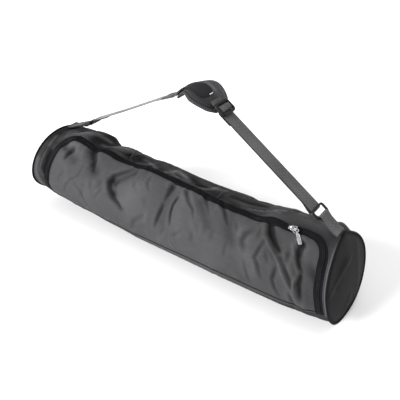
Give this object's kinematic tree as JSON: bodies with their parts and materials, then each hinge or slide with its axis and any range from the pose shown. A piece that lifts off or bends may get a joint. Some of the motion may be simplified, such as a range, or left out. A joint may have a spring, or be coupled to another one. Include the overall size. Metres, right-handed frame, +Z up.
{
  "type": "yoga mat bag",
  "caption": "Tube-shaped zipped cloth bag for a rolled yoga mat, with a padded webbing shoulder strap, lying on its side.",
  "frame": {"origin": "middle of the flattened underside that the bag lies on, below the middle of the tube", "axes": "+X along the tube to its right end as pictured, -Y out of the front with the zip, +Z up through the standing strap"},
  "size_m": [0.6778, 0.1649, 0.3348],
  "materials": {
    "cloth": "woven, slight sheen",
    "dark_cloth": "matte quilted",
    "webbing": "ribbed webbing",
    "black_tape": "matte",
    "black_plastic": "satin",
    "nickel": "bright"
  },
  "bodies": {
    "bag": {"front_panel": "cloth", "back_panel": "cloth", "left_cap": "cloth", "right_cap": "cloth", "left_piping": "black_tape", "right_piping": "black_tape", "zip_coil": "black_tape", "zip_tape_front": "black_tape", "zip_tape_back": "black_tape", "zip_slider": "nickel", "left_tab": "webbing", "right_tab": "webbing", "left_ring": "black_plastic", "right_ring": "black_plastic", "strap_left": "webbing", "strap_right": "webbing", "strap_slider": "black_plastic", "shoulder_pad": "dark_cloth", "pad_binding": "webbing", "pad_patch": "dark_cloth", "pad_tongue": "dark_cloth"},
    "pull": {"zip_link": "nickel", "zip_pull": "nickel"}
  },
  "joints": [
    {"name": "pull_swing", "type": "hinge", "parent": "bag", "child": "pull", "pos_m": [0.2359, -0.02122, 0.15185], "axis": [-0.4595, -0.8041, -0.3771], "range_deg": [0, 150]}
  ]
}
